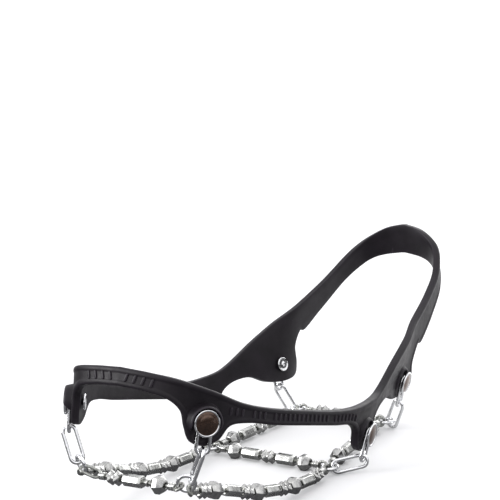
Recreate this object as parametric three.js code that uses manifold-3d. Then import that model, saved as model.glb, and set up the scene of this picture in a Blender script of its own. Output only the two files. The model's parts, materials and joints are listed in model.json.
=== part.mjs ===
// Shoe ice cleat: a moulded rubber harness that stretches around a winter boot, with six riveted
// chain drops that carry a net of beaded steel cable under the sole.
// Millimetres, +Z up. The origin is on the ground under the middle of the harness, the toe points
// to -Y and the wearer's left side is +X.

import * as THREE from 'three';
import { ParametricGeometry } from 'three/addons/geometries/ParametricGeometry.js';
import { mergeVertices } from 'three/addons/utils/BufferGeometryUtils.js';
import Module from 'manifold-3d';

// ---- driving dimensions ----
const GAP = 0.35; // running clearance between pieces
const BAND_THICKNESS = 4;
const BAND_CHAMFER = 1.2;
const BAND_STATIONS = 104; // per half of the loop

const SHANK_RADIUS = 1.5;
const HEAD_RADIUS = 6.25;
const HEAD_EDGE = 1;
const HEAD_DOME = 0.9;
const TAIL_RADIUS = 4;
const TAIL_THICKNESS = 1.2;
const TAIL_STANDOFF = 0.8; // room behind the curved band

const WIRE_RADIUS = 0.95; // chain links and junction rings
const TAB_LINK_LENGTH = 18.8; // outside
const DROP_LINK_LENGTH = 20; // outside
const LINK_WIDTH = 8; // outside
const RING_RADIUS = 4; // to the middle of the wire

const CABLE_RADIUS = 0.9;
const EYE_WIRE = 0.8;
const EYE_RADIUS = 2.2; // to the middle of the wire
const FERRULE_RADIUS = 1.9;
const FERRULE_LENGTH = 3.6;
const COLLAR_RADIUS = 1.8;
const COLLAR_LENGTH = 1.2;
const SLEEVE_RADIUS = 2.7; // hexagon, over the corners
const SLEEVE_LENGTH = 11;

const BEAD_BORE = 1.5; // hexagon, over the corners
const DIAMOND_LENGTH = 7.4;
const DIAMOND_FLATS = 3.9; // axis to flat
const DIAMOND_END = 2.5;
const DIAMOND_BELT = 1.3; // half length of the belt
const SPIKE_LENGTH = 7;
const SPIKE_TIP = 3.9;
const SPIKE_ROOT = 2.7;
const SPIKE_ROW = 1.8; // each row of spikes from the middle

const NET_HEIGHT = DIAMOND_FLATS; // cable above the ground where the beads carry the weight

// Half of the harness outline in plan, from the middle of the toe to the middle of the heel.
const OUTLINE = [
  [0, -140.5], [18, -139], [29, -135], [37, -127], [44.5, -110], [50.5, -82], [53.5, -52],
  [54, -29], [52, -6], [48.5, 14], [45.5, 32], [43, 52], [40, 78], [37, 99], [33, 118],
  [25, 132.5], [13, 139], [0, 140.5],
];

// Heights along the band, as [distance from the toe, height].
const TOP_EDGE = [
  [0, 85.6], [16, 84.4], [32, 81.4], [48, 74.2], [64, 64.8], [83, 57], [108, 49], [130, 42.2],
  [148, 38], [166, 36], [182, 36.8], [208, 46], [235, 55], [265, 65.5], [283, 73.5], [298, 82.5],
  [312, 90], [322, 94.5], [333, 97],
];
const LOWER_EDGE = [
  [0, 77.6], [15, 76.2], [26, 73], [31, 68], [32, 61], [34, 54], [40.5, 50.4], [48, 51.4],
  [55, 56], [66, 54.6], [82, 49.2], [107, 41.6], [130, 34.5], [146, 29.5], [152.5, 24],
  [153.5, 16.5], [159, 11.4], [168, 11], [174.5, 16], [176.5, 23.5], [184, 27.6], [200, 27.6],
  [211, 22.4], [224, 19.6], [236, 21], [239.4, 27], [240, 36], [247.5, 44.6], [249.5, 43.6],
  [265, 51], [283, 61], [298, 69.5], [315, 77], [333, 80],
];

// How far the band's top leans inwards, in degrees, and the height that it leans about.
const LEAN = [[0, 22], [20, 18], [40, 6], [110, 0], [150, -8], [225, -14], [250, 0], [333, 0]];
const PIVOT = [
  [0, 78], [30, 74], [60, 62], [100, 48], [150, 28], [180, 26], [230, 42], [262, 62], [333, 86],
];

const RIVETS = { front: [41.6, 61.2], mid: [164, 19.6], rear: [224, 29] }; // along the band, height
const CHAIN_HEADING = { front: [-0.96, -0.28], mid: [-0.85, -0.53], rear: [-0.93, 0.37] }; // in plan
const TAB_LINK_TURN = { front: 14, mid: 20, rear: 0 }; // degrees, from hanging straight down to the toe
const TAB_SHARE = 1.6; // how much more the drop link squares up to its tab link than to its ring
const FRONT_DROP = 11.6; // from the front tab link's bend down to the ring's wire
const FRONT_RING_TURN = 40; // degrees, the ring's axis from straight ahead to the side
const FRONT_RING_PULL = 0.7; // how far the net pulls it from hanging in line with its link

const SIDES = { left: 1, right: -1 };
const UP = new THREE.Vector3(0, 0, 1);

// ---- materials ----
const rubber = () => new THREE.MeshStandardMaterial({ color: 0x232127, roughness: 0.62, metalness: 0 });
const chrome = () => new THREE.MeshStandardMaterial({ color: 0xc9ccd0, roughness: 0.22, metalness: 1 });
const capMetal = () => new THREE.MeshStandardMaterial({ color: 0x7c7470, roughness: 0.25, metalness: 1 });
const cableSteel = () => new THREE.MeshStandardMaterial({ color: 0xa3a69f, roughness: 0.4, metalness: 1 });
const beadSteel = () => new THREE.MeshStandardMaterial({ color: 0xb9b8b2, roughness: 0.3, metalness: 1 });

// ---- solids ----
const wasm = await Module();
wasm.setup();

function weld(geometry) {
  const bare = geometry.clone();
  bare.deleteAttribute('normal');
  bare.deleteAttribute('uv');
  return mergeVertices(bare, 1e-4);
}

function toSolid(geometry) {
  const welded = weld(geometry);
  return new wasm.Manifold(new wasm.Mesh({
    numProp: 3,
    vertProperties: new Float32Array(welded.attributes.position.array),
    triVerts: new Uint32Array(welded.index.array),
  }));
}

function toGeometry(solid) {
  const mesh = solid.getMesh();
  const geometry = new THREE.BufferGeometry();
  geometry.setAttribute('position', new THREE.BufferAttribute(mesh.vertProperties, 3));
  geometry.setIndex(new THREE.BufferAttribute(mesh.triVerts, 1));
  geometry.computeVertexNormals();
  return geometry;
}

// A matrix whose x and y axes are given, and whose z axis is their cross product.
function pose(origin, x, y) {
  const z = new THREE.Vector3().crossVectors(x, y).normalize();
  const yFlat = new THREE.Vector3().crossVectors(z, x).normalize();
  return new THREE.Matrix4().makeBasis(x, yFlat, z).setPosition(origin);
}

function addPart(name, geometry, material, matrix = new THREE.Matrix4()) {
  const mesh = new THREE.Mesh(geometry, material);
  mesh.name = name;
  mesh.applyMatrix4(matrix);
  cleat.add(mesh);
  return mesh;
}

// ---- the band's surface ----
const mirrored = OUTLINE.slice(1, -1).reverse().map(([x, y]) => [-x, y]);
const plan = new THREE.CatmullRomCurve3(
  [...OUTLINE, ...mirrored].map(([x, y]) => new THREE.Vector3(x, y, 0)), true);
plan.arcLengthDivisions = 1200;
const PERIMETER = plan.getLength();
const HALF = PERIMETER / 2;

// Smooth interpolation between [distance, value] knots.
function along(knots, distance) {
  const d = THREE.MathUtils.clamp(distance, knots[0][0], knots.at(-1)[0]);
  const i = Math.min(knots.findIndex(([at], k) => k > 0 && d <= at), knots.length - 1) - 1;
  const slope = (a, b) => (knots[b][1] - knots[a][1]) / (knots[b][0] - knots[a][0]);
  const tangent = (k) => slope(Math.max(k - 1, 0), Math.min(k + 1, knots.length - 1));
  const span = knots[i + 1][0] - knots[i][0];
  const t = (d - knots[i][0]) / span;
  const h = t * t * (3 - 2 * t);
  return knots[i][1] * (1 - h) + knots[i + 1][1] * h
    + span * t * (1 - t) * ((1 - t) * tangent(i) - t * tangent(i + 1));
}

// The point at a signed distance from the toe, a height, and a depth outwards from the outer face.
function onBand(distance, height, depth = 0) {
  const u = THREE.MathUtils.euclideanModulo(distance / PERIMETER, 1);
  const tangent = plan.getTangentAt(u);
  const outwards = new THREE.Vector3(tangent.y, -tangent.x, 0);
  const reach = Math.abs(distance);
  const lean = THREE.MathUtils.degToRad(along(LEAN, reach));
  const drop = along(PIVOT, reach) - height;
  return plan.getPointAt(u)
    .addScaledVector(outwards, drop * Math.tan(lean) + depth * Math.cos(lean))
    .setZ(height + depth * Math.sin(lean));
}

// The frame of a rivet's tab: origin on the outer face, along the band, outwards and down.
function tabFrame(end, side) {
  const [distance, height] = RIVETS[end];
  const s = distance * side;
  const origin = onBand(s, height);
  const out = onBand(s, height, 1).sub(origin).normalize();
  const down = onBand(s, height - 1).sub(origin);
  down.addScaledVector(out, -down.dot(out)).normalize();
  return { origin, out, down, across: new THREE.Vector3().crossVectors(out, down) };
}

function harness() {
  const lower = new THREE.CatmullRomCurve3(
    LOWER_EDGE.map(([distance, height]) => new THREE.Vector3(distance, height, 0)));
  lower.arcLengthDivisions = 2000;
  const c = BAND_CHAMFER;
  const t = BAND_THICKNESS;
  // Section as [share of the band's height, offset up, depth].
  const section = [[0, 0, -t], [0, 0, -c], [0, c, 0], [1, -c, 0], [1, 0, -c], [1, 0, -t]];
  const surface = (u, v, target) => {
    const half = u <= 0.5 ? 1 : -1;
    const edge = lower.getPointAt(half > 0 ? 2 * u : 2 - 2 * u);
    const distance = Math.min(edge.x, HALF);
    const [share, offset, depth] = section[Math.round(v * section.length) % section.length];
    const height = THREE.MathUtils.lerp(edge.y, along(TOP_EDGE, distance), share) + offset;
    target.copy(onBand(half * distance, height, depth));
  };
  let band = toSolid(new ParametricGeometry(surface, 2 * BAND_STATIONS, section.length));
  for (const end of Object.keys(RIVETS)) {
    for (const side of Object.values(SIDES)) {
      const tab = tabFrame(end, side);
      const drill = new THREE.CylinderGeometry(SHANK_RADIUS + 0.5, SHANK_RADIUS + 0.5, 20, 12);
      drill.applyMatrix4(pose(tab.origin, tab.across, tab.out));
      band = band.subtract(toSolid(drill));
    }
  }
  return toGeometry(band);
}

// ---- rivets, links and rings ----
const LINK_LEVEL = GAP + WIRE_RADIUS; // a tab link's middle plane, above the band's face

function rivet() {
  const under = LINK_LEVEL + WIRE_RADIUS + GAP;
  const inner = -BAND_THICKNESS - TAIL_STANDOFF;
  const profile = [
    [0, inner - TAIL_THICKNESS], [TAIL_RADIUS, inner - TAIL_THICKNESS], [TAIL_RADIUS, inner],
    [SHANK_RADIUS, inner], [SHANK_RADIUS, under], [HEAD_RADIUS, under],
    [HEAD_RADIUS, under + HEAD_EDGE], [HEAD_RADIUS * 0.6, under + HEAD_EDGE + HEAD_DOME * 0.7],
    [0, under + HEAD_EDGE + HEAD_DOME],
  ];
  return weld(new THREE.LatheGeometry(profile.map(([r, h]) => new THREE.Vector2(r, h)), 12));
}

// A closed loop of round wire, long along z and wide along x, with its two straights joined by
// half circles: radius is to the middle of the wire and straight is the length between them.
function wireLoop(radius, straight, wire, stations, sides) {
  const surface = (u, v, target) => {
    const turn = 2 * Math.PI * u;
    const around = 2 * Math.PI * v;
    const reach = radius + wire * Math.cos(around);
    const lift = Math.abs(Math.sin(turn)) < 1e-9 ? 0 : Math.sign(Math.sin(turn));
    target.set(
      reach * Math.cos(turn), -wire * Math.sin(around), reach * Math.sin(turn) + lift * straight / 2);
  };
  return weld(new ParametricGeometry(surface, stations, sides));
}

const LINK_RADIUS = LINK_WIDTH / 2 - WIRE_RADIUS;
const link = (length) => wireLoop(LINK_RADIUS, length - LINK_WIDTH, WIRE_RADIUS, 16, 6);
const TAB_TIP = TAB_LINK_LENGTH / 2 - WIRE_RADIUS; // a link's middle to the middle of its end wire
const DROP_TIP = DROP_LINK_LENGTH / 2 - WIRE_RADIUS;
const HOOKED = 2 * WIRE_RADIUS + 2.4 * GAP; // between the wires of two pieces that hang in each other

// ---- beads ----
function turned(profile, segments, start = 0) {
  const points = [...profile, profile[0]].map(([r, h]) => new THREE.Vector2(r, h));
  return new THREE.LatheGeometry(points, segments, start);
}

function diamondBead() {
  const end = DIAMOND_LENGTH / 2;
  const corner = DIAMOND_FLATS / Math.cos(Math.PI / 6);
  const profile = [
    [BEAD_BORE, -end], [DIAMOND_END, -end], [corner, -DIAMOND_BELT], [corner, DIAMOND_BELT],
    [DIAMOND_END, end], [BEAD_BORE, end],
  ];
  return weld(turned(profile, 6, Math.PI / 6));
}

function starBead() {
  const end = SPIKE_LENGTH / 2;
  const profile = [
    [BEAD_BORE, -end], [SPIKE_ROOT * 0.85, -end], [SPIKE_TIP, -SPIKE_ROW], [SPIKE_ROOT, 0],
    [SPIKE_TIP, SPIKE_ROW], [SPIKE_ROOT * 0.85, end], [BEAD_BORE, end],
  ];
  const geometry = turned(profile, 8);
  const points = geometry.attributes.position;
  for (let i = 0; i < points.count; i += 1) {
    const angle = Math.atan2(points.getX(i), points.getZ(i));
    const between = Math.round(angle / (Math.PI / 4)) % 2 !== 0;
    const radius = Math.hypot(points.getX(i), points.getZ(i));
    const pull = between && radius > SPIKE_ROOT ? SPIKE_ROOT / radius : 1;
    points.setX(i, points.getX(i) * pull);
    points.setZ(i, points.getZ(i) * pull);
  }
  return weld(geometry);
}

const BEADS = {
  star: { length: SPIKE_LENGTH, shape: starBead },
  diamond: { length: DIAMOND_LENGTH, shape: diamondBead },
};
const CRIMPS = {
  ferrule: { length: FERRULE_LENGTH, radius: FERRULE_RADIUS, corners: 8 },
  collar: { length: COLLAR_LENGTH, radius: COLLAR_RADIUS, corners: 8 },
  sleeve: { length: SLEEVE_LENGTH, radius: SLEEVE_RADIUS, corners: 6 },
};

// ---- cable strands ----
// A ring is { centre, axis }. Something hooked on it from a direction meets the ring's wire there.
function hook(ring, direction) {
  const radial = direction.clone().addScaledVector(ring.axis, -direction.dot(ring.axis)).normalize();
  return { wire: ring.centre.clone().addScaledVector(radial, RING_RADIUS), radial, axis: ring.axis };
}

// The cable's eye on a ring: a loop around the ring's wire, stretched by extra towards the cable.
function eye(place, heading, extra) {
  const normal = new THREE.Vector3().crossVectors(place.radial, place.axis).normalize();
  const lead = heading.clone().addScaledVector(normal, -heading.dot(normal)).normalize();
  const middle = place.wire.clone().addScaledVector(lead, extra / 2);
  const side = new THREE.Vector3().crossVectors(normal, lead);
  const geometry = wireLoop(EYE_RADIUS, extra, EYE_WIRE, 10, 5).applyMatrix4(pose(middle, side, normal));
  return { geometry, start: place.wire.clone().addScaledVector(lead, EYE_RADIUS + extra) };
}

// One strand: its cable, eyes and crimped pieces are one solid, and its beads are their own.
function strand({ name, from, to, via = [], pieces, extra = 0 }) {
  const firstPoint = via[0] ?? to.wire;
  const lastPoint = via.at(-1) ?? from.wire;
  const startEye = eye(from, firstPoint.clone().sub(from.wire).normalize(), 0);
  const endEye = eye(to, lastPoint.clone().sub(to.wire).normalize(), extra);
  const route = new THREE.CatmullRomCurve3([startEye.start, ...via, endEye.start]);
  const length = route.getLength();
  const used = pieces.reduce((sum, kind) => sum + (BEADS[kind] ?? CRIMPS[kind]).length, 0);
  const slack = (length - used) / (pieces.length - 1);

  const section = new THREE.Shape();
  for (let i = 0; i < 6; i += 1) {
    const angle = (i / 6) * 2 * Math.PI;
    section[i ? 'lineTo' : 'moveTo'](CABLE_RADIUS * Math.cos(angle), CABLE_RADIUS * Math.sin(angle));
  }
  const steps = via.length ? Math.round(length / 7) : 2;
  let cable = toSolid(new THREE.ExtrudeGeometry(section, { steps, extrudePath: route, bevelEnabled: false }));
  cable = cable.add(toSolid(startEye.geometry)).add(toSolid(endEye.geometry));

  let reached = 0;
  const counts = { star: 0, diamond: 0 };
  for (const kind of pieces) {
    const piece = BEADS[kind] ?? CRIMPS[kind];
    const u = (reached + piece.length / 2) / length;
    const heading = route.getTangentAt(u);
    const across = new THREE.Vector3().crossVectors(heading, UP).normalize();
    const matrix = pose(route.getPointAt(u), across, heading);
    if (kind in BEADS) {
      counts[kind] += 1;
      addPart(`${kind}_bead_${name}_${counts[kind]}`, piece.shape(), beadSteel(), matrix);
    } else {
      const crimp = new THREE.CylinderGeometry(
        piece.radius, piece.radius, piece.length, piece.corners, 1, false, Math.PI / piece.corners);
      cable = cable.add(toSolid(crimp.applyMatrix4(matrix)));
    }
    reached += piece.length + slack;
  }
  addPart(`cable_${name}`, toGeometry(cable), cableSteel());
}

// ---- chain drops ----
// The way that a drop link heads from the wire that it hangs on, to its ring's wire.
function dropHeading(end, side, wire) {
  const reach = 2 * (DROP_TIP - HOOKED);
  const fall = end === 'front' ? FRONT_DROP : wire.z - NET_HEIGHT;
  const [headX, headY] = CHAIN_HEADING[end];
  return new THREE.Vector3(headX * side, headY, 0).setLength(Math.sqrt(reach ** 2 - fall ** 2))
    .setZ(-fall).normalize();
}

function chainDrop(end, sideName) {
  const side = SIDES[sideName];
  const tab = tabFrame(end, side);
  addPart(`rivet_${end}_${sideName}`, rivet(), capMetal(), pose(tab.origin, tab.across, tab.out));

  // The tab link hangs from the rivet's shank, just clear of the band's face.
  const turn = THREE.MathUtils.degToRad(TAB_LINK_TURN[end]) * side;
  const down = tab.down.clone().applyAxisAngle(tab.out, -turn);
  const across = new THREE.Vector3().crossVectors(tab.out, down);
  const hang = TAB_TIP - SHANK_RADIUS - GAP - WIRE_RADIUS;
  const tabLink = tab.origin.clone().addScaledVector(tab.out, LINK_LEVEL).addScaledVector(down, hang);
  addPart(`tab_link_${end}_${sideName}`, link(TAB_LINK_LENGTH), chrome(), pose(tabLink, across, tab.out));

  const wire = tabLink.clone().addScaledVector(down, TAB_TIP);
  const heading = dropHeading(end, side, wire);
  const middle = wire.clone().addScaledVector(heading, DROP_TIP - HOOKED);
  const ringWire = wire.clone().addScaledVector(heading, 2 * (DROP_TIP - HOOKED));

  // The front rings hang, pulled inwards by the net, and the others lie flat.
  const inwards = heading.clone().setZ(0).normalize();
  if (end === 'front') inwards.multiplyScalar(FRONT_RING_PULL).add(heading).normalize();
  const ahead = THREE.MathUtils.degToRad(FRONT_RING_TURN);
  const facing = end === 'front'
    ? new THREE.Vector3(Math.sin(ahead) * side, -Math.cos(ahead), 0) : UP.clone();
  const axis = facing.addScaledVector(inwards, -facing.dot(inwards)).normalize();
  const tangent = new THREE.Vector3().crossVectors(axis, inwards);
  const centre = ringWire.addScaledVector(inwards, RING_RADIUS);
  const torus = new THREE.TorusGeometry(RING_RADIUS, WIRE_RADIUS, 6, 16);
  addPart(`junction_ring_${end}_${sideName}`, weld(torus), chrome(), pose(centre, inwards, tangent));

  // The drop link lies square to both wires that it hangs in, as nearly as one flat link can.
  const normal = tangent.clone().addScaledVector(across, TAB_SHARE * Math.sign(across.dot(tangent)));
  normal.addScaledVector(heading, -normal.dot(heading)).normalize();
  const width = new THREE.Vector3().crossVectors(normal, heading);
  addPart(`drop_link_${end}_${sideName}`, link(DROP_LINK_LENGTH), chrome(), pose(middle, width, normal));
  return { centre, axis };
}

// ---- assembly ----
const cleat = new THREE.Group();
cleat.name = 'shoe_ice_cleat';
addPart('harness_band', harness(), rubber());

const rings = {};
for (const end of Object.keys(RIVETS)) {
  for (const sideName of Object.keys(SIDES)) {
    rings[`${end}_${sideName}`] = chainDrop(end, sideName);
  }
}

for (const end of Object.keys(RIVETS)) {
  const { [`${end}_left`]: left, [`${end}_right`]: right } = rings;
  const tilt = end === 'front' ? -0.35 : 0;
  strand({
    name: `${end}_cross`,
    from: hook(left, new THREE.Vector3(-1, 0, tilt)),
    to: hook(right, new THREE.Vector3(1, 0, tilt)),
    pieces: {
      front: ['ferrule', 'diamond', 'collar', 'sleeve', 'star', 'ferrule'],
      mid: ['ferrule', 'diamond', 'sleeve', 'star', 'sleeve', 'diamond', 'ferrule'],
      rear: ['ferrule', 'diamond', 'sleeve', 'star', 'ferrule'],
    }[end],
    extra: end === 'front' ? 6 : 0,
  });
}

const FORE_VIA = [[32, -108, 21.5], [35, -84, 12.5], [37, -58, 6.6], [37.5, -40, 4.4]];
for (const [sideName, side] of Object.entries(SIDES)) {
  const front = rings[`front_${sideName}`];
  const mid = rings[`mid_${sideName}`];
  const rear = rings[`rear_${sideName}`];
  const via = FORE_VIA.map(([x, y, z]) => new THREE.Vector3(x * side, y, z));
  strand({
    name: `fore_${sideName}`,
    from: hook(front, new THREE.Vector3(0.3 * side, 0, -1)),
    to: hook(mid, new THREE.Vector3(0, -1, 0)),
    via,
    pieces: [
      'ferrule', 'star', 'diamond', 'collar', 'sleeve', 'star', 'diamond', 'sleeve', 'star',
      'diamond', 'sleeve', 'star', 'ferrule',
    ],
  });
  strand({
    name: `rear_${sideName}`,
    from: hook(mid, new THREE.Vector3(-0.45 * side, 1, 0)),
    to: hook(rear, new THREE.Vector3(-0.5 * side, -1, 0)),
    pieces: ['ferrule', 'diamond', 'sleeve', 'star', 'sleeve', 'diamond', 'ferrule'],
  });
}

export default cleat;
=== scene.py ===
"""The looks of a shoe ice cleat: a moulded rubber harness with riveted chain drops and a net of
beaded steel cable. Lengths are in millimetres until a mesh is made, which is in metres."""
import json
import math

import bmesh
import bpy
import numpy as np
from mathutils import Matrix, Vector


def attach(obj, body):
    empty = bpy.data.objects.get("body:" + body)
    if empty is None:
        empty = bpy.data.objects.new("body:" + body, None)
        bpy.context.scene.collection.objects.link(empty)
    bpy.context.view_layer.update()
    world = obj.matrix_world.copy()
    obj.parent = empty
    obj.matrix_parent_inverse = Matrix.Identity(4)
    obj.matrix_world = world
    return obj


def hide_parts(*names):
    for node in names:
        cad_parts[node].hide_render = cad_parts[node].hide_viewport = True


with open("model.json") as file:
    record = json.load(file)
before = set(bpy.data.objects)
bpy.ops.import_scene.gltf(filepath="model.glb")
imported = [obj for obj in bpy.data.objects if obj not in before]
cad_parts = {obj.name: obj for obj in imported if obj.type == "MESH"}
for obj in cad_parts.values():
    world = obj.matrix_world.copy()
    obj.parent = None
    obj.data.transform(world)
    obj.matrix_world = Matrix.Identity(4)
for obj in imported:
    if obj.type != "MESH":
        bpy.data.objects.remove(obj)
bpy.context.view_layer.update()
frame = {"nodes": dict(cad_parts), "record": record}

MM = 0.001
UP = np.array([0.0, 0.0, 1.0])
ROOT_BODY = "harness"
ENDS = ("front", "mid", "rear")
SIDES = {"left": 1, "right": -1}

# ---- sizes shared with the CAD model ----
BAND_THICKNESS = 4.0
WIRE_RADIUS = 0.95
LINK_WIDTH = 8.0
RING_RADIUS = 4.0
CABLE_RADIUS = 0.9
EYE_RADIUS = 2.2
FRONT_EYE_STRETCH = 6.0
FERRULE = {"length": 3.6, "radius": 1.9}
COLLAR = {"length": 1.2, "radius": 1.8}
SLEEVE = {"length": 11.0, "radius": 3.1}  # drawn fuller than the CAD model's 2.7
DIAMOND = {"length": 7.4, "radius": 3.9}
STAR = {"length": 7.0, "radius": 3.9}
PIECES = {"ferrule": FERRULE, "collar": COLLAR, "sleeve": SLEEVE, "diamond": DIAMOND, "star": STAR}
RIVET_HEAD = 6.25
RIVET_UNDER = 2.6  # under the head, above the band's face
RIVET_SHANK = 1.5
RIVET_TAIL = 4.0
RIVET_INNER = -4.8
RIVET_WASHER = 1.2

# The CAD model's wires have six or five flats. These round ones lie between the flats and corners.
ROUND_WIRE = 0.88
EYE_WIRE = 0.72
WELD_SWELL = 0.06
WELD_REACH = 0.9

RIM_HEIGHT = 1.35  # of a rivet's rim, from the head's underside

# Half of the harness outline in plan, from the middle of the toe to the middle of the heel.
OUTLINE = [
    (0, -140.5), (18, -139), (29, -135), (37, -127), (44.5, -110), (50.5, -82), (53.5, -52),
    (54, -29), (52, -6), (48.5, 14), (45.5, 32), (43, 52), (40, 78), (37, 99), (33, 118),
    (25, 132.5), (13, 139), (0, 140.5),
]
# Heights along the band, as (distance from the toe, height).
TOP_EDGE = [
    (0, 85.6), (16, 84.4), (32, 81.4), (48, 74.2), (64, 64.8), (83, 57), (108, 49), (130, 42.2),
    (148, 38), (166, 36), (182, 36.8), (208, 46), (235, 55), (265, 65.5), (283, 73.5), (298, 82.5),
    (312, 90), (322, 94.5), (333, 97),
]
LOWER_EDGE = [
    (0, 77.6), (15, 76.2), (26, 73), (31, 68), (32, 61), (34, 54), (40.5, 50.4), (48, 51.4),
    (55, 56), (66, 54.6), (82, 49.2), (107, 41.6), (130, 34.5), (146, 29.5), (152.5, 24),
    (153.5, 16.5), (159, 11.4), (168, 11), (174.5, 16), (176.5, 23.5), (184, 27.6), (200, 27.6),
    (211, 22.4), (224, 19.6), (236, 21), (239.4, 27), (240, 36), (247.5, 44.6), (249.5, 43.6),
    (265, 51), (283, 61), (298, 69.5), (315, 77), (333, 80),
]
# How far the band's top leans inwards, in degrees, and the height that it leans about.
LEAN = [(0, 22), (20, 18), (40, 6), (110, 0), (150, -8), (225, -14), (250, 0), (333, 0)]
PIVOT = [
    (0, 78), (30, 74), (60, 62), (100, 48), (150, 28), (180, 26), (230, 42), (262, 62), (333, 86),
]

# The moulded relief of the band's outer face.
OUTER_ROUND = 1.2
INNER_ROUND = 0.6
RIM_WIDTH = 0.55
RIM_FALL = 1.0
RECESS = 0.28
# The wall of the pocket round a rivet's head, with its angles in degrees.
WALL_INNER = 6.75
WALL_LIP = 0.5
WALL_FLANK = 1.7
WALL_HEIGHT = {"front": 4.0, "mid": 1.3, "rear": 1.3}
WALL_END_HEIGHT = 0.1  # where it ends, beside the link
WALL_OPENING = 56  # each side of the link
WALL_FADE = 34
# The raised bars. Runs of side bars are (distance of the first, how many).
BAR_SLANT = 0.35
TOE_BAR = {"width": 1.5, "tall": 3.6, "step": 4.6}
TOE_BARS = 4  # each side of the middle
SIDE_BAR = {"width": 1.2, "tall": 3.3, "step": 3.3}
SIDE_BAR_RUNS = [(56, 3), (69.5, 3), (83, 13), (129.5, 7)]
# How deep a shell's foot is sunk in the rubber, below the recess.
BAR_FOOT = 0.3
WALL_ROOT = 0.5

# How finely the pieces are cut.
BAND_STATIONS = 460  # per half of the loop
FACE_ROWS = 14
LOWER_SAMPLES = 1500
WALL_STATIONS = 64
WIRE_SIDES = 16
LINK_STATIONS = 88
RING_STATIONS = 64
RIVET_SEGMENTS = 72
CRIMP_SEGMENTS = 36
SLEEVE_SEGMENTS = 72
STAR_SEGMENTS = 64
CABLE_SIDES = 36
CABLE_STEP = 0.5

BEAD_BORE = 1.4
CABLE_PITCH = 7.0

# The route of the left fore strand between its rings, and which way the strands pull on their rings.
FORE_VIA = [(32, -108, 21.5), (35, -84, 12.5), (37, -58, 6.6), (37.5, -40, 4.4)]
FRONT_CROSS_FALL = -0.35
FORE_PULL = (0.3, 0, -1)
REAR_PULL = {"mid": (-0.45, 1, 0), "rear": (-0.5, -1, 0)}
CROSS_PIECES = {
    "front": ["ferrule", "diamond", "collar", "sleeve", "star", "ferrule"],
    "mid": ["ferrule", "diamond", "sleeve", "star", "sleeve", "diamond", "ferrule"],
    "rear": ["ferrule", "diamond", "sleeve", "star", "ferrule"],
}
FORE_PIECES = [
    "ferrule", "star", "diamond", "collar", "sleeve", "star", "diamond", "sleeve", "star",
    "diamond", "sleeve", "star", "ferrule",
]
REAR_PIECES = ["ferrule", "diamond", "sleeve", "star", "sleeve", "diamond", "ferrule"]


# ---- curves ----
def unit(v):
    v = np.asarray(v, float)
    return v / np.linalg.norm(v)


def catmull_rom(points, closed, per_span=60):
    """Samples of a centripetal Catmull-Rom curve through the points."""
    p = [np.asarray(q, float) for q in points]
    count = len(p)
    if closed:
        spans = [(p[i - 1], p[i], p[(i + 1) % count], p[(i + 2) % count]) for i in range(count)]
    else:
        padded = [2 * p[0] - p[1], *p, 2 * p[-1] - p[-2]]
        spans = [tuple(padded[i:i + 4]) for i in range(count - 1)]
    samples = []
    for a, b, c, d in spans:
        before, here, after = [np.linalg.norm(v - u) ** 0.5 for u, v in ((a, b), (b, c), (c, d))]
        into = ((b - a) / before - (c - a) / (before + here) + (c - b) / here) * here
        out = ((c - b) / here - (d - b) / (here + after) + (d - c) / after) * here
        for t in np.linspace(0, 1, per_span, endpoint=False):
            cubic = 2 * b - 2 * c + into + out
            square = -3 * b + 3 * c - 2 * into - out
            samples.append(b + into * t + square * t * t + cubic * t ** 3)
    samples.append(p[0] if closed else p[-1])
    return np.array(samples)


class Path:
    """A sampled curve that is read by the distance along it."""

    def __init__(self, samples):
        self.samples = samples
        steps = np.linalg.norm(np.diff(samples, axis=0), axis=1)
        self.at = np.concatenate([[0], np.cumsum(steps)])
        self.length = self.at[-1]

    def point(self, distance):
        axes = range(self.samples.shape[1])
        return np.stack([np.interp(distance, self.at, self.samples[:, k]) for k in axes], -1)

    def heading(self, distance, reach=0.4):
        low = np.clip(distance - reach, 0, self.length)
        high = np.clip(distance + reach, 0, self.length)
        step = self.point(high) - self.point(low)
        return step / np.linalg.norm(step, axis=-1, keepdims=True)


def along(knots, distance):
    """Smooth interpolation between (distance, value) knots."""
    at, value = np.array(knots, float).T
    d = np.clip(distance, at[0], at[-1])
    i = np.clip(np.searchsorted(at, d) - 1, 0, len(at) - 2)
    last = len(at) - 1

    def tangent(k):
        a, b = np.maximum(k - 1, 0), np.minimum(k + 1, last)
        return (value[b] - value[a]) / (at[b] - at[a])

    span = at[i + 1] - at[i]
    t = (d - at[i]) / span
    h = t * t * (3 - 2 * t)
    ease = span * t * (1 - t) * ((1 - t) * tangent(i) - t * tangent(i + 1))
    return value[i] * (1 - h) + value[i + 1] * h + ease


# ---- the band's surface ----
mirrored_outline = [(-x, y) for x, y in OUTLINE[-2:0:-1]]
plan = Path(catmull_rom(OUTLINE + mirrored_outline, True))
HALF = plan.length / 2
lower_edge = Path(catmull_rom(LOWER_EDGE, False))


def on_band(distance, height, depth):
    """Points at signed distances from the toe, heights, and depths outwards from the outer face."""
    distance, height, depth = np.broadcast_arrays(distance, height, depth)
    wrapped = np.mod(distance, plan.length)
    ahead, behind = np.mod(wrapped + 0.5, plan.length), np.mod(wrapped - 0.5, plan.length)
    tangent = plan.point(ahead) - plan.point(behind)
    tangent /= np.linalg.norm(tangent, axis=-1, keepdims=True)
    outwards = np.stack([tangent[..., 1], -tangent[..., 0]], -1)
    reach = np.abs(distance)
    lean = np.radians(along(LEAN, reach))
    shift = (along(PIVOT, reach) - height) * np.tan(lean) + depth * np.cos(lean)
    flat = plan.point(wrapped) + outwards * shift[..., None]
    return np.concatenate([flat, (height + depth * np.sin(lean))[..., None]], -1)


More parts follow.
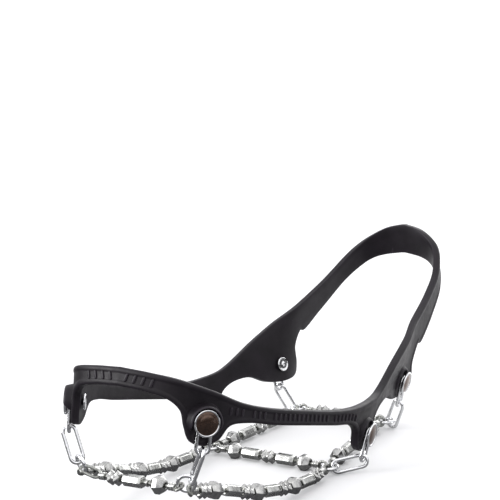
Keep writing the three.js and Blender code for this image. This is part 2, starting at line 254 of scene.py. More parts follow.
# ---- meshes ----
def make_object(name, mesh, material, body, node):
    """Puts a mesh in the scene as a piece that rides on a body and replaces a CAD node."""
    mesh.materials.append(material)
    piece = bpy.data.objects.new(name, mesh)
    bpy.context.scene.collection.objects.link(piece)
    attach(piece, body)
    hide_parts(node)


def grid_faces(rows, columns, wrap_rows, first):
    """Faces between rows of points, where each row is a closed ring."""
    faces = []
    for i in range(rows if wrap_rows else rows - 1):
        a, b = first + i * columns, first + ((i + 1) % rows) * columns
        for j in range(columns):
            k = (j + 1) % columns
            faces.append((a + j, b + j, b + k, a + k))
    return faces


class Solid:
    """Collects closed shells, in millimetres, and turns them into one mesh."""

    def __init__(self):
        self.points = []
        self.faces = []

    def grid(self, points, wrap_rows=False, caps=False):
        """Rows of points around a closed column direction, with flat caps on open ends."""
        rows, columns = points.shape[:2]
        first = len(self.points)
        self.points.extend(points.reshape(-1, 3).tolist())
        self.faces += grid_faces(rows, columns, wrap_rows, first)
        if caps:
            self.faces.append(tuple(first + j for j in range(columns)))
            start = first + (rows - 1) * columns
            self.faces.append(tuple(start + j for j in reversed(range(columns))))

    def mesh(self, name, bevel=0.0, sharp=38):
        """One mesh of all the shells. Edges that turn by more than sharp degrees stay sharp."""
        mesh = bpy.data.meshes.new(name)
        mesh.from_pydata([[c * MM for c in p] for p in self.points], [], self.faces)
        shell = bmesh.new()
        shell.from_mesh(mesh)
        bmesh.ops.remove_doubles(shell, verts=shell.verts, dist=1e-7)
        if bevel:
            least = math.radians(15)
            steep = [e for e in shell.edges if e.is_manifold and e.calc_face_angle() > least]
            bmesh.ops.bevel(shell, geom=steep, offset=bevel * MM, offset_type="OFFSET",
                            segments=3, profile=0.6, affect="EDGES", clamp_overlap=True)
        bmesh.ops.recalc_face_normals(shell, faces=shell.faces)
        shell.to_mesh(mesh)
        shell.free()
        mesh.shade_smooth()
        mesh.set_sharp_from_angle(angle=math.radians(sharp))
        return mesh


def pose(origin, x, y):
    """A 4 by 4 matrix from an origin, an x axis, and the way that y leans."""
    x = unit(x)
    z = unit(np.cross(x, y))
    matrix = np.eye(4)
    matrix[:3, 0], matrix[:3, 1], matrix[:3, 2] = x, np.cross(z, x), z
    matrix[:3, 3] = origin
    return matrix


def placed(points, matrix):
    """Points moved from a matrix's own frame into the part's."""
    return points @ matrix[:3, :3].T + matrix[:3, 3]


def lathe(profile, segments, start=0.0, shape=None):
    """Rings of points about local y. Each profile entry is (radius, height).

    start turns the first point, and shape gives radii that change round the ring."""
    angles = start + np.arange(segments) * 2 * math.pi / segments
    rings = []
    for radius, height in profile:
        r = np.full(segments, float(radius)) if shape is None else shape(radius, height, angles)
        level = np.full(segments, float(height))
        rings.append(np.stack([r * np.sin(angles), level, r * np.cos(angles)], -1))
    return np.array(rings)


def arc(centre, radius, start, stop, steps):
    """Points of an arc, as (across, up), with angles in degrees."""
    angles = np.radians(np.linspace(start, stop, steps))
    return [(centre[0] + radius * math.cos(a), centre[1] + radius * math.sin(a)) for a in angles]


def loop_points(radius, straight, stations):
    """A closed loop in the local x-z plane, long along z: two half circles and two straights."""
    bend = math.pi * radius
    total = 2 * bend + 2 * straight
    points = []
    for s in np.arange(stations) * total / stations:
        if s < bend:
            angle = s / radius
            points.append((radius * math.cos(angle), 0, radius * math.sin(angle) + straight / 2))
        elif s < bend + straight:
            points.append((-radius, 0, straight / 2 - (s - bend)))
        elif s < 2 * bend + straight:
            angle = math.pi + (s - bend - straight) / radius
            points.append((radius * math.cos(angle), 0, radius * math.sin(angle) - straight / 2))
        else:
            points.append((radius, 0, s - 2 * bend - straight - straight / 2))
    return np.array(points)


def tube(points, closed, sides, radius_at):
    """Rings of points along a path. radius_at takes the distance along it and the angles round it."""
    if closed:
        tangents = np.roll(points, -1, 0) - np.roll(points, 1, 0)
    else:
        tangents = np.gradient(points, axis=0)
    tangents /= np.linalg.norm(tangents, axis=1, keepdims=True)
    steps = np.linalg.norm(np.diff(points, axis=0), axis=1)
    distances = np.concatenate([[0], np.cumsum(steps)])
    guide = UP if abs(tangents[0] @ UP) < 0.9 else np.array([1.0, 0, 0])
    across = unit(np.cross(tangents[0], guide))
    angles = np.arange(sides) * 2 * math.pi / sides
    rings = []
    for point, tangent, distance in zip(points, tangents, distances):
        across = unit(across - tangent * (across @ tangent))
        up = np.cross(tangent, across)
        r = radius_at(distance, angles)
        rings.append(point + np.outer(r * np.cos(angles), across) + np.outer(r * np.sin(angles), up))
    return np.array(rings)


# ---- materials ----
def set_up(name, metallic=0.0, specular=0.5, coat=0.0, coat_roughness=0.1):
    """A new material, its node tree and its shader."""
    material = bpy.data.materials.new(name)
    material.use_nodes = True
    tree = material.node_tree
    shader = tree.nodes["Principled BSDF"]
    shader.inputs["Metallic"].default_value = metallic
    shader.inputs["Specular IOR Level"].default_value = specular
    shader.inputs["Coat Weight"].default_value = coat
    shader.inputs["Coat Roughness"].default_value = coat_roughness
    return material, tree, shader


def noise(tree, scale, detail, roughness=0.55, distortion=0.0):
    """The factor of a noise in object space, where scale is in features per metre."""
    place = tree.nodes.new("ShaderNodeTexCoord")
    texture = tree.nodes.new("ShaderNodeTexNoise")
    texture.inputs["Scale"].default_value = scale
    texture.inputs["Detail"].default_value = detail
    texture.inputs["Roughness"].default_value = roughness
    texture.inputs["Distortion"].default_value = distortion
    tree.links.new(place.outputs["Object"], texture.inputs["Vector"])
    return texture.outputs["Fac"]


def remap(tree, value, low, high, to_low=0.0, to_high=1.0):
    """The value, stretched so that low becomes to_low and high becomes to_high."""
    node = tree.nodes.new("ShaderNodeMapRange")
    for socket, number in zip(("From Min", "From Max", "To Min", "To Max"), (low, high, to_low, to_high)):
        node.inputs[socket].default_value = number
    tree.links.new(value, node.inputs["Value"])
    return node.outputs["Result"]


def blend(tree, factor, first, second):
    """A colour mix. Each colour is a tuple or a socket."""
    node = tree.nodes.new("ShaderNodeMix")
    node.data_type = "RGBA"
    tree.links.new(factor, node.inputs["Factor"])
    for socket, colour in (("A", first), ("B", second)):
        target = [s for s in node.inputs if s.name == socket and s.type == "RGBA"][0]
        if isinstance(colour, tuple):
            target.default_value = (*colour, 1)
        else:
            tree.links.new(colour, target)
    return [s for s in node.outputs if s.type == "RGBA"][0]


def cloudy(tree, pattern, dark, light, low=0.3, high=0.7):
    """A colour that goes from dark to light as the pattern goes from low to high."""
    return blend(tree, remap(tree, pattern, low, high), dark, light)


def gloss(tree, shader, pattern, smooth, rough):
    """A roughness that follows a pattern."""
    tree.links.new(remap(tree, pattern, 0.3, 0.7, smooth, rough), shader.inputs["Roughness"])


def bump(tree, shader, height, strength, distance, under=None):
    """A bump of the shader's normal, where distance is in millimetres, on top of the one under it."""
    node = tree.nodes.new("ShaderNodeBump")
    node.inputs["Strength"].default_value = strength
    node.inputs["Distance"].default_value = distance * MM
    tree.links.new(height, node.inputs["Height"])
    if under:
        tree.links.new(under, node.inputs["Normal"])
    tree.links.new(node.outputs["Normal"], shader.inputs["Normal"])
    return node.outputs["Normal"]


def edges(tree, low, high):
    """0 in the hollows and flats, 1 on the edges."""
    geometry = tree.nodes.new("ShaderNodeNewGeometry")
    return remap(tree, geometry.outputs["Pointiness"], low, high)


def rubber_material():
    material, tree, shader = set_up("moulded_rubber", specular=0.24)
    cloud = noise(tree, 90, 4, 0.6)
    colour = cloudy(tree, cloud, (0.006, 0.0044, 0.0065), (0.0115, 0.0088, 0.0125))
    # Lighter where the mesh is sharp: along the band's edges and round the bars and pocket walls.
    edge_lightening = remap(tree, edges(tree, 0.51, 0.56), 0, 1, 0, 0.5)
    colour = blend(tree, edge_lightening, colour, (0.036, 0.03, 0.039))
    tree.links.new(colour, shader.inputs["Base Color"])
    gloss(tree, shader, noise(tree, 240, 5, 0.65, 0.4), 0.36, 0.5)
    skin = bump(tree, shader, noise(tree, 420, 3, 0.5), 0.5, 0.06)
    bump(tree, shader, noise(tree, 2600, 2, 0.5), 0.35, 0.03, skin)
    return material


def plated_material():
    material, tree, shader = set_up("bright_plating", metallic=1)
    colour = cloudy(tree, noise(tree, 260, 4, 0.6), (0.78, 0.785, 0.8), (0.93, 0.935, 0.945))
    tree.links.new(colour, shader.inputs["Base Color"])
    gloss(tree, shader, noise(tree, 700, 4), 0.08, 0.19)
    drawn = bump(tree, shader, noise(tree, 380, 2), 0.3, 0.05)
    bump(tree, shader, noise(tree, 3000, 2), 0.15, 0.015, drawn)
    return material


def cap_material():
    material, tree, shader = set_up("dark_cap", metallic=1, coat=0.7, coat_roughness=0.22)
    shader.inputs["Coat IOR"].default_value = 1.7
    mottle = noise(tree, 520, 5, 0.65, 1.2)
    colour = cloudy(tree, mottle, (0.05, 0.024, 0.014), (0.15, 0.078, 0.046), high=0.72)
    tree.links.new(colour, shader.inputs["Base Color"])
    gloss(tree, shader, noise(tree, 900, 4), 0.16, 0.32)
    bump(tree, shader, noise(tree, 240, 2), 0.2, 0.05)
    return material


def cable_material():
    material, tree, shader = set_up("stranded_steel", metallic=1)
    colour = cloudy(tree, noise(tree, 350, 4, 0.6), (0.2, 0.2, 0.19), (0.52, 0.53, 0.5))
    tree.links.new(colour, shader.inputs["Base Color"])
    gloss(tree, shader, noise(tree, 1200, 3), 0.22, 0.42)
    bump(tree, shader, noise(tree, 2200, 2), 0.3, 0.03)
    return material


def crimp_material():
    material, tree, shader = set_up("crimped_steel", metallic=1)
    cloud = noise(tree, 300, 5, 0.65)
    colour = cloudy(tree, cloud, (0.42, 0.425, 0.41), (0.68, 0.685, 0.66), 0.32, 0.68)
    colour = blend(tree, edges(tree, 0.52, 0.6), colour, (0.9, 0.9, 0.88))
    tree.links.new(colour, shader.inputs["Base Color"])
    gloss(tree, shader, noise(tree, 800, 4), 0.14, 0.3)
    drawn = bump(tree, shader, noise(tree, 600, 2, 0.5), 0.3, 0.04)
    bump(tree, shader, noise(tree, 3200, 2), 0.15, 0.012, drawn)
    return material


def bead_material():
    material, tree, shader = set_up("hardened_steel", metallic=1)
    cloud = noise(tree, 330, 5, 0.65, 0.5)
    colour = cloudy(tree, cloud, (0.33, 0.33, 0.33), (0.62, 0.62, 0.6), 0.32, 0.68)
    colour = blend(tree, edges(tree, 0.52, 0.62), colour, (0.86, 0.86, 0.84))
    tree.links.new(colour, shader.inputs["Base Color"])
    gloss(tree, shader, noise(tree, 950, 4), 0.13, 0.28)
    cast = bump(tree, shader, noise(tree, 600, 2, 0.5), 0.35, 0.05)
    bump(tree, shader, noise(tree, 3000, 2), 0.15, 0.012, cast)
    return material


RUBBER = rubber_material()
PLATING = plated_material()
CAP = cap_material()
CABLE = cable_material()
CRIMP = crimp_material()
BEAD = bead_material()


# ---- the rubber harness ----
def edge_normals(distance, height):
    """Normals of the lower edge in the band's own plane, pointing into the rubber, smoothed along it."""
    step_d, step_h = np.gradient(distance), np.gradient(height)
    normal = np.stack([-step_h, step_d], -1)
    normal /= np.linalg.norm(normal, axis=1, keepdims=True)
    reach = 5
    kernel = np.hanning(2 * reach + 1)
    padded = np.pad(normal, ((reach, reach), (0, 0)), mode="edge")
    smooth = np.stack([np.convolve(padded[:, k], kernel, "valid") for k in range(2)], -1)
    return smooth / np.linalg.norm(smooth, axis=1, keepdims=True)


def band_section():
    """The rounded border as (inset from the edge, depth), from the inner face to the recess."""
    inner = arc((INNER_ROUND, -BAND_THICKNESS + INNER_ROUND), INNER_ROUND, 270, 180, 4)
    outer = arc((OUTER_ROUND, -OUTER_ROUND), OUTER_ROUND, 180, 90, 7)
    rim = OUTER_ROUND + RIM_WIDTH
    s_curve = ((0, 0), (0.3, 0.18), (0.7, 0.82), (1, 1))
    fall = [(rim + across * RIM_FALL, -down * RECESS) for across, down in s_curve]
    return inner + outer + fall


def harness():
    """The rubber moulding as one skin of rows along the band, with bars and pocket walls sunk in it."""
    at = np.linspace(0, lower_edge.length, BAND_STATIONS + 1)
    distance, height = lower_edge.point(at).T
    distance = np.clip(distance, 0, HALF)
    top = along(TOP_EDGE, distance)
    lower_in = edge_normals(distance, height)
    slope = along(TOP_EDGE, distance + 0.5) - along(TOP_EDGE, distance - 0.5)
    top_in = np.stack([slope, -np.ones_like(slope)], -1) / np.hypot(slope, 1)[:, None]
    # At the toe and the heel the two halves meet, so the normals there have no part along the band.
    for normal in (lower_in, top_in):
        normal[[0, -1], 0] = 0
        normal[[0, -1], 1] = np.sign(normal[[0, -1], 1])

    def inset_row(edge_height, into, inset):
        return distance + into[:, 0] * inset, edge_height + into[:, 1] * inset

    def between(first, second, share):
        return tuple(a + (b - a) * share for a, b in zip(first, second))

    border = band_section()
    rows = [(*inset_row(height, lower_in, inset), depth) for inset, depth in border]
    low, high = rows[-1][:2], inset_row(top, top_in, border[-1][0])
    for share in np.linspace(0, 1, FACE_ROWS + 2)[1:-1]:
        rows.append((*between(low, high, share), -RECESS))
    rows += [(*inset_row(top, top_in, inset), depth) for inset, depth in reversed(border)]
    inner_low, inner_high = rows[0][:2], rows[-1][:2]
    for share in (0.25, 0.5, 0.75):
        rows.append((*between(inner_high, inner_low, share), -BAND_THICKNESS))

    left, right = [
        np.array([on_band(side * d, h, depth) for d, h, depth in rows]).transpose(1, 0, 2)
        for side in SIDES.values()
    ]
    solid = Solid()
    solid.grid(np.concatenate([left, right[-2:0:-1]]), wrap_rows=True)
    for mark in raised_marks():
        solid.grid(mark, caps=True)
    for end in ENDS:
        for side in SIDES:
            solid.grid(pocket_wall(end, side), caps=True)
    mesh = solid.mesh("rubber_harness", sharp=60)
    make_object("rubber_harness", mesh, RUBBER, ROOT_BODY, "harness_band")


def raised_bar(distance, height, width, tall, slant):
    """A small raised bar of the moulding, with rounded corners, as rings from its foot to its top.

    Each ring has a scale of the bar's outline and a depth outwards from the band's face."""
    corner = 0.45 * width
    outline = []
    for x, y, start in ((1, 1, 0), (-1, 1, 90), (-1, -1, 180), (1, -1, 270)):
        centre = (x * (width / 2 - corner), y * (tall / 2 - corner))
        outline += arc(centre, corner, start, start + 90, 4)
    outline = np.array(outline)
    rings = []
    for scale, depth in ((1.0, -RECESS - BAR_FOOT), (1.0, 0.1), (0.9, 0.24), (0.6, 0.3)):
        across = outline[:, 0] * scale
        up = outline[:, 1] * (1 - (1 - scale) * width / tall)
        rings.append(on_band(distance + across + slant * up, height + up, depth))
    return np.array(rings)


def raised_marks():
    """Plain slanted bars, on the toe band and along each side band."""
    lower_at = np.linspace(0, lower_edge.length, LOWER_SAMPLES)
    lower_d, lower_h = lower_edge.point(lower_at).T
    marks = []

    def middle(distance):
        reach = abs(distance)
        nearest = np.argmin(np.abs(lower_d - reach))
        return (along(TOP_EDGE, np.array(reach)) + lower_h[nearest]) / 2

    def add(bar, distance, side):
        slant = BAR_SLANT * side
        marks.append(raised_bar(side * distance, middle(distance), bar["width"], bar["tall"], slant))

    for side in SIDES.values():
        for k in range(1, TOE_BARS + 1):
            add(TOE_BAR, k * TOE_BAR["step"], side)
        for first, count in SIDE_BAR_RUNS:
            for distance in first + SIDE_BAR["step"] * np.arange(count):
                add(SIDE_BAR, distance, side)
    return marks


# ---- chain drops ----
JOINTS = {j["name"]: j for j in frame["record"]["behaviour"]["joints"]}


def joint_place(name):
    """A joint's place, in millimetres, and its axis."""
    joint = JOINTS[name]
    return np.array(joint["pos_m"]) / MM, unit(joint["axis"])


def node_axes(node):
    """A flat node's middle, its length, and its long and wide directions."""
    thing = frame["nodes"][node]
    points = np.array([thing.matrix_world @ v.co for v in thing.data.vertices]) / MM
    offsets = points - points.mean(0)
    _, directions = np.linalg.eigh(offsets.T @ offsets)
    long_way, wide_way = directions[:, 2], directions[:, 1]
    reaches = points @ directions
    middle = directions @ ((reaches.min(0) + reaches.max(0)) / 2)
    return middle, np.ptp(reaches[:, 2]), long_way, wide_way


def round_wire(radius):
    """A wire of one radius all round and all along."""
    return lambda distance, angles: np.full(len(angles), radius)


def welded_wire(weld_at):
    """A round wire with a slight swelling where its two ends are welded."""
    def radius_at(distance, angles):
        swell = WELD_SWELL * math.exp(-((distance - weld_at) / WELD_REACH) ** 2)
        return np.full(len(angles), ROUND_WIRE + swell)
    return radius_at


def wire_loop(node, path, radius_at, matrix):
    """A closed wire as the plated piece that replaces a node."""
    solid = Solid()
    solid.grid(placed(tube(path, True, WIRE_SIDES, radius_at), matrix), wrap_rows=True)
    make_object(node + "_wire", solid.mesh(node), PLATING, node, node)


def link(node):
    """A chain link, laid where its CAD node lies."""
    middle, length, long_way, wide_way = node_axes(node)
    radius = LINK_WIDTH / 2 - WIRE_RADIUS
    straight = length - LINK_WIDTH
    path = loop_points(radius, straight, LINK_STATIONS)
    thin_way = np.cross(long_way, wide_way)
    weld = math.pi * radius + straight / 2
    wire_loop(node, path, welded_wire(weld), pose(middle, wide_way, thin_way))


def ring(node):
    """A junction ring, laid round its joint's axis."""
    centre, axis = joint_place(node + "_spin")
    path = loop_points(RING_RADIUS, 0, RING_STATIONS)
    not_the_axis = [0.3, 0.5, 0.8]
    side = np.cross(axis, not_the_axis)
    wire_loop(node, path, round_wire(ROUND_WIRE), pose(centre, side, axis))


def turned_solid(profile, segments, matrix):
    """A lathed solid whose profile starts and ends near the axis, closed with small caps."""
    solid = Solid()
    solid.grid(placed(lathe(profile, segments), matrix), caps=True)
    return solid


def pocket_wall(end, side):
    """The raised wall of the moulding round a rivet's head, open where its link hangs out."""
    origin, out = joint_place(f"tab_link_{end}_{side}_swing")
    middle, _, _, _ = node_axes(f"tab_link_{end}_{side}")
    down = unit(middle - origin - out * ((middle - origin) @ out))
    across = np.cross(out, down)
    foot = -RECESS - WALL_ROOT
    rings = []
    for angle in np.radians(np.linspace(WALL_OPENING, 360 - WALL_OPENING, WALL_STATIONS)):
        spoke = down * math.cos(angle) + across * math.sin(angle)
        from_link = math.degrees(min(angle, 2 * math.pi - angle))
        fade = min(1.0, (from_link - WALL_OPENING) / WALL_FADE)
        top = WALL_END_HEIGHT + (WALL_HEIGHT[end] - WALL_END_HEIGHT) * math.sin(fade * math.pi / 2)
        section = [(WALL_INNER, foot), (WALL_INNER + 0.05, top - 0.35), (WALL_INNER + 0.3, top)]
        for share in np.linspace(0.15, 1, 6):
            fall = (1 + math.cos(share * math.pi)) / 2
            section.append((WALL_INNER + WALL_LIP + share * WALL_FLANK, top * fall + foot * (1 - fall)))
        rings.append([origin + spoke * reach + out * height for reach, height in section])
    return np.array(rings)


def rivet(end, side):
    """A rivet's plated shell, turned from its inner washer to its rolled rim, and the cap in the rim."""
    node = f"rivet_{end}_{side}"
    origin, out = joint_place(f"tab_link_{end}_{side}_swing")
    matrix = pose(origin, np.cross(out, UP), out)
    tail_face = RIVET_INNER - RIVET_WASHER
    rim_top = RIVET_UNDER + RIM_HEIGHT
    shell = [(0.4, tail_face + 0.35), (0.9, tail_face + 0.05), (1.5, tail_face)]
    shell += arc((RIVET_TAIL - 0.5, tail_face + 0.5), 0.5, 270, 360, 5)
    shell += arc((RIVET_TAIL - 0.4, RIVET_INNER - 0.4), 0.4, 0, 90, 4)
    shell += [(RIVET_SHANK + 0.3, RIVET_INNER), (RIVET_SHANK, RIVET_INNER + 0.3)]
    shell += [(RIVET_SHANK, RIVET_UNDER - 0.3), (RIVET_SHANK + 0.3, RIVET_UNDER)]
    shell += arc((RIVET_HEAD - 0.45, RIVET_UNDER + 0.45), 0.45, 270, 360, 5)
    rolled, seat = 0.5, rim_top - 0.75
    shell += arc((RIVET_HEAD - rolled, rim_top - rolled), rolled, 0, 180, 12)
    shell += [(RIVET_HEAD - 2 * rolled, seat), (0.4, seat)]
    mesh = turned_solid(shell, RIVET_SEGMENTS, matrix).mesh(node + "_shell", sharp=50)
    make_object(node + "_shell", mesh, PLATING, ROOT_BODY, node)

    reach = RIVET_HEAD - 0.92
    face = rim_top - 0.42
    back = face - 0.7
    height, groove_depth, groove_width = 0.85, 0.1, 0.28
    dome = [(0.3, back), (reach, back)]
    for share in np.linspace(0, 1, 12):
        radius = reach * (1 - share) + 0.08
        rise = height * (1 - (radius / reach) ** 2)
        groove = groove_depth * math.exp(-((radius - 0.72 * reach) / groove_width) ** 2)
        dome.append((radius, face + rise - groove))
    mesh = turned_solid(dome, RIVET_SEGMENTS, matrix).mesh(node + "_cap", sharp=50)
    make_object(node + "_cap", mesh, CAP, ROOT_BODY, node)


# ---- beads and crimped pieces ----
def diamond_bead(matrix):
    """A six-sided bead that narrows to both ends, with a bore."""
    corner = DIAMOND["radius"] / math.cos(math.pi / 6)
    end, nose, belt = DIAMOND["length"] / 2, 2.5, 1.3
    profile = [
        (BEAD_BORE, -end), (nose, -end), (corner, -belt), (corner, belt), (nose, end), (BEAD_BORE, end),
    ]
    solid = Solid()
    solid.grid(placed(lathe(profile, 6, math.pi / 6), matrix), wrap_rows=True)
    return solid.mesh("diamond_bead", bevel=0.28, sharp=26)


def star_bead(matrix):
    """A bead with a bore and two rows of four spikes."""
    end, tip, root, row = STAR["length"] / 2, STAR["radius"], 2.7, 1.8
    base = [(BEAD_BORE, -end), (root * 0.8, -end)]
    base += [(root, h) for h in np.linspace(-end + 0.35, end - 0.35, 29)]
    base += [(root * 0.8, end), (BEAD_BORE, end)]

    def shape(radius, height, angles):
        row_share = max(0.0, 1 - abs(abs(height) - row) / 1.35)
        around = np.abs(np.mod(angles + math.pi / 4, math.pi / 2) - math.pi / 4) / (math.pi / 4)
        spike = np.clip(1 - 1.25 * around, 0, 1) * row_share
        waist = 0.16 * math.exp(-(height / 0.5) ** 2)
        return np.where(radius >= root, radius - waist + (tip - root) * spike ** 0.9, radius)

    solid = Solid()
    solid.grid(placed(lathe(base, STAR_SEGMENTS, 0, shape), matrix), wrap_rows=True)
    return solid.mesh("star_bead", sharp=30)


def ferrule(solid, matrix):
    """A short tube crimped on the cable from four sides, with two shallow grooves."""
    half, radius = FERRULE["length"] / 2, FERRULE["radius"]
    profile = [(0.6, -half)] + arc((radius - 0.4, -half + 0.4), 0.4, 270, 360, 5)
    for share in (-0.45, 0.45):
        centre = share * half
        floor_radius = radius - 0.2
        profile += [(radius, centre - 0.4), (floor_radius, centre - 0.15)]
        profile += [(floor_radius, centre + 0.15), (radius, centre + 0.4)]
    profile += arc((radius - 0.4, half - 0.4), 0.4, 0, 90, 5) + [(0.6, half)]

    def shape(radius, height, angles):
        return np.full(len(angles), radius) * (1 - 0.07 * np.cos(2 * angles) ** 2)

    solid.grid(placed(lathe(profile, CRIMP_SEGMENTS, 0, shape), matrix), caps=True)


def collar(solid, matrix):
    """A narrow collar with a rounded edge."""
    half, radius = COLLAR["length"] / 2, COLLAR["radius"]
    profile = [(0.6, -half)] + arc((radius - 0.5, 0), 0.5, 270, 450, 9) + [(0.6, half)]
    profile = [(r, float(np.clip(h * 1.2, -half, half))) for r, h in profile]
    solid.grid(placed(lathe(profile, CRIMP_SEGMENTS), matrix), caps=True)


def sleeve(solid, matrix):
    """A hexagonal sleeve pressed on the cable, with rounded corners and eased ends."""
    half, corner = SLEEVE["length"] / 2, SLEEVE["radius"]
    flat = corner * math.cos(math.pi / 6)
    profile = [(0.5, -half), (0.78, -half), (0.93, -half + 0.22), (1, -half + 0.6)]
    profile += [(0.985, h) for h in (-half / 2, 0, half / 2)]
    profile += [(1, half - 0.6), (0.93, half - 0.22), (0.78, half), (0.5, half)]

    def shape(scale, height, angles):
        face = np.abs(np.mod(angles + math.pi / 6, math.pi / 3) - math.pi / 6)
        hexagon = flat / np.cos(face)
        return scale * np.minimum(hexagon, corner * 0.955)

    solid.grid(placed(lathe(profile, SLEEVE_SEGMENTS, 0, shape), matrix), caps=True)


# ---- cable strands ----
def stranded(pitch):
    """Six outer wires wound round a core, as a radius that changes round and along the cable."""
    def radius_at(distance, angles):
        turn = 3 * (angles - 2 * math.pi * distance / pitch)
        return CABLE_RADIUS * (0.86 + 0.14 * np.abs(np.cos(turn)))
    return radius_at


def eye(solid, place, heading, extra):
    """The loop at a strand's end, hooked round a ring's wire and longer than a circle by extra.

    Gives the point where the strand leaves it."""
    wire, radial, axis = place
    normal = unit(np.cross(radial, axis))
    lead = unit(heading - normal * (heading @ normal))
    path = loop_points(EYE_RADIUS, extra, 52 + int(extra * 4))
    around = 2 * math.pi * EYE_RADIUS + 2 * extra
    strands = stranded(around / round(around / CABLE_PITCH))
    rings = tube(path, True, CABLE_SIDES, lambda s, a: strands(s, a) * EYE_WIRE / CABLE_RADIUS)
    matrix = pose(wire + lead * extra / 2, np.cross(normal, lead), normal)
    solid.grid(placed(rings, matrix), wrap_rows=True)
    return wire + lead * (EYE_RADIUS + extra)


def hook(ring_node, direction):
    """Where something that pulls a ring from a direction meets the ring's wire."""
    centre, axis = joint_place(ring_node + "_spin")
    direction = np.asarray(direction, float)
    radial = unit(direction - axis * (direction @ axis))
    return centre + radial * RING_RADIUS, radial, axis


def strand(name, start, stop, pieces, via=(), extra=0.0):
    """A cable between two hooks, with its crimped pieces and beads spread evenly along it."""
    cable = Solid()
    crimps = Solid()
    knots = [start[0], *via, stop[0]]
    first = eye(cable, start, unit(knots[1] - start[0]), 0.0)
    last = eye(cable, stop, unit(knots[-2] - stop[0]), extra)
    route = Path(catmull_rom([first, *via, last], False, 200))
    points = route.point(np.linspace(0, route.length, int(route.length / CABLE_STEP)))
    cable.grid(tube(points, False, CABLE_SIDES, stranded(CABLE_PITCH)), caps=True)

    used = sum(PIECES[kind]["length"] for kind in pieces)
    slack = (route.length - used) / (len(pieces) - 1)
    reached = 0.0
    counts = {"star": 0, "diamond": 0}
    for kind in pieces:
        length = PIECES[kind]["length"]
        middle = reached + length / 2
        heading = route.heading(np.array(middle))
        matrix = pose(route.point(np.array(middle)), unit(np.cross(heading, UP)), heading)
        if kind in counts:
            counts[kind] += 1
            node = f"{kind}_bead_{name}_{counts[kind]}"
            mesh = (star_bead if kind == "star" else diamond_bead)(matrix)
            make_object(node + "_steel", mesh, BEAD, node, node)
        else:
            {"ferrule": ferrule, "collar": collar, "sleeve": sleeve}[kind](crimps, matrix)
        reached += length + slack
    node = f"cable_{name}"
    make_object(node + "_strand", cable.mesh(node, sharp=60), CABLE, ROOT_BODY, node)
    mesh = crimps.mesh(node + "_crimps", sharp=30)
    make_object(node + "_crimps", mesh, CRIMP, ROOT_BODY, node)


def net():
    """Seven strands: one across at each pair of rings, and two along each side."""
    for end in ENDS:
        tilt = FRONT_CROSS_FALL if end == "front" else 0.0
        left = hook(f"junction_ring_{end}_left", (-1, 0, tilt))
        right = hook(f"junction_ring_{end}_right", (1, 0, tilt))
        extra = FRONT_EYE_STRETCH if end == "front" else 0.0
        strand(f"{end}_cross", left, right, CROSS_PIECES[end], extra=extra)
    for name, side in SIDES.items():
        mirror = np.array([side, 1, 1])
        rings = {end: f"junction_ring_{end}_{name}" for end in ENDS}
        front = hook(rings["front"], FORE_PULL * mirror)
        strand(f"fore_{name}", front, hook(rings["mid"], (0, -1, 0)), FORE_PIECES, via=FORE_VIA * mirror)
        mid, rear = [hook(rings[end], pull * mirror) for end, pull in REAR_PULL.items()]
        strand(f"rear_{name}", mid, rear, REAR_PIECES)


# ---- the studio ----
def floor():
    """A pale floor. In reflections its near half is dark, like the black cards of a studio."""
    mesh = bpy.data.meshes.new("floor")
    reach = 12.0
    corners = [(x * reach, y * reach, 0) for x, y in ((-1, -1), (1, -1), (1, 1), (-1, 1))]
    mesh.from_pydata(corners, [], [(0, 1, 2, 3)])
    material, tree, shader = set_up("pale_floor", specular=0.2)
    shade = blend(tree, noise(tree, 3, 2), (0.84, 0.84, 0.845), (0.88, 0.88, 0.885))
    split = tree.nodes.new("ShaderNodeSeparateXYZ")
    place = tree.nodes.new("ShaderNodeTexCoord")
    tree.links.new(place.outputs["Object"], split.inputs["Vector"])
    near, far = -0.04, 0.12
    mirrored = cloudy(tree, split.outputs["Y"], (0.1, 0.1, 0.105), (0.85, 0.85, 0.85), near, far)
    light_path = tree.nodes.new("ShaderNodeLightPath")
    shade = blend(tree, light_path.outputs["Is Glossy Ray"], shade, mirrored)
    tree.links.new(shade, shader.inputs["Base Color"])
    shader.inputs["Roughness"].default_value = 0.7
    mesh.materials.append(material)
    plane = bpy.data.objects.new("floor", mesh)
    bpy.context.scene.collection.objects.link(plane)


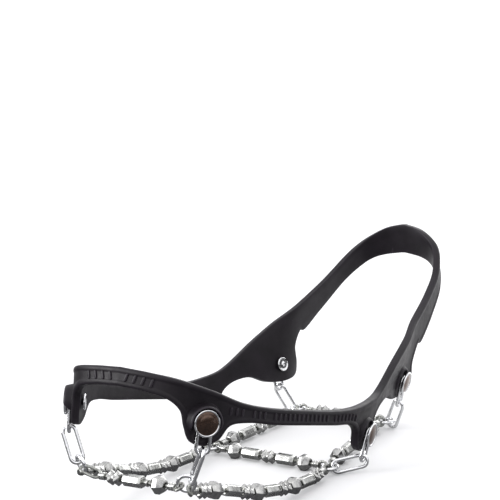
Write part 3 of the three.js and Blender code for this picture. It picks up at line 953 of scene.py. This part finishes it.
def studio_world():
    """A pale studio whose walls near the horizon are dark in reflections, as a photographer's are."""
    world = bpy.data.worlds.new("studio")
    world.use_nodes = True
    bpy.context.scene.world = world
    tree = world.node_tree
    background = tree.nodes["Background"]
    place = tree.nodes.new("ShaderNodeTexCoord")
    split = tree.nodes.new("ShaderNodeSeparateXYZ")
    ramp = tree.nodes.new("ShaderNodeValToRGB")
    ramp.color_ramp.elements[0].position = 0.0
    ramp.color_ramp.elements[0].color = (0.5, 0.5, 0.5, 1)
    ramp.color_ramp.elements[1].position = 1.0
    ramp.color_ramp.elements[1].color = (0.95, 0.95, 0.96, 1)
    # The ramp goes from straight down to straight up, and the horizon is at its middle.
    for position, level in ((0.48, 0.02), (0.56, 0.02), (0.62, 0.9)):
        ramp.color_ramp.elements.new(position).color = (level, level, level * 1.03, 1)
    tree.links.new(place.outputs["Generated"], split.inputs["Vector"])
    tree.links.new(remap(tree, split.outputs["Z"], -1, 1), ramp.inputs["Fac"])
    light_path = tree.nodes.new("ShaderNodeLightPath")
    seen = blend(tree, light_path.outputs["Is Camera Ray"], ramp.outputs["Color"], (0.84, 0.84, 0.84))
    tree.links.new(seen, background.inputs["Color"])
    background.inputs["Strength"].default_value = 1.2


def soft_light(name, towards, spread, strength):
    """A distant soft light. towards points at it, and spread is its width across in degrees."""
    data = bpy.data.lights.new(name, "SUN")
    data.energy = strength
    data.angle = math.radians(spread)
    lamp = bpy.data.objects.new(name, data)
    lamp.rotation_euler = Vector(towards).to_track_quat("Z", "Y").to_euler()
    bpy.context.scene.collection.objects.link(lamp)


def camera():
    """A long lens that looks at the part from its left and front, a little from above."""
    right = Vector((0.8339, 0.5489, -0.0577)).normalized()
    up = Vector((-0.0673, 0.2048, 0.9765))
    back = right.cross(up).normalized()
    up = back.cross(right)
    data = bpy.data.cameras.new("camera")
    data.lens = 108
    data.sensor_width = 36
    data.clip_start = 0.01
    view = bpy.data.objects.new("camera", data)
    view.matrix_world = Matrix((right, up, back)).transposed().to_4x4()
    view.location = (0.4146, -0.6404, 0.2732)
    bpy.context.scene.collection.objects.link(view)
    bpy.context.scene.camera = view


bpy.context.scene.view_settings.view_transform = "Standard"
camera()
floor()
studio_world()
soft_light("key", (-0.74, -0.6, 0.34), 32, 1.9)
soft_light("top", (0.3, -0.35, 0.9), 50, 0.3)
soft_light("back", (-0.1, 0.95, 0.32), 44, 1.1)

harness()
for end_name in ENDS:
    for side_name in SIDES:
        rivet(end_name, side_name)
        link(f"tab_link_{end_name}_{side_name}")
        link(f"drop_link_{end_name}_{side_name}")
        ring(f"junction_ring_{end_name}_{side_name}")
net()
